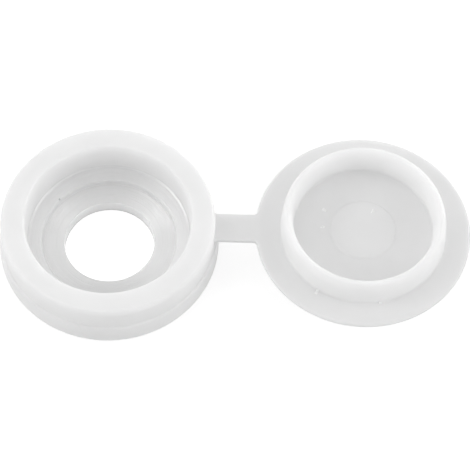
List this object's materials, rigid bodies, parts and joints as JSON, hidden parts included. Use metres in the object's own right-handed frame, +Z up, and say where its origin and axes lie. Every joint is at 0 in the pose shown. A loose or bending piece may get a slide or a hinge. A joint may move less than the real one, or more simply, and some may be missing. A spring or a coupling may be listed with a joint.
{
  "type": "screw cover cap",
  "caption": "Moulded plastic screw washer with a recessed seat and a screw hole, joined by a flat strap to a fold-over snap cap that lies open.",
  "frame": {"origin": "middle of the bounding box at its bottom, on the plane of the washer's underside", "axes": "+X from the washer along the strap to the open cap, +Z up out of the washer's mouth and along the cap's ring, +Y across the strap"},
  "size_m": [0.0278, 0.013, 0.0047],
  "materials": {
    "white_moulded_plastic": "satin, as moulded, natural white and slightly translucent"
  },
  "bodies": {
    "root": {"screw_cover_cap": "white_moulded_plastic"}
  },
  "joints": []
}
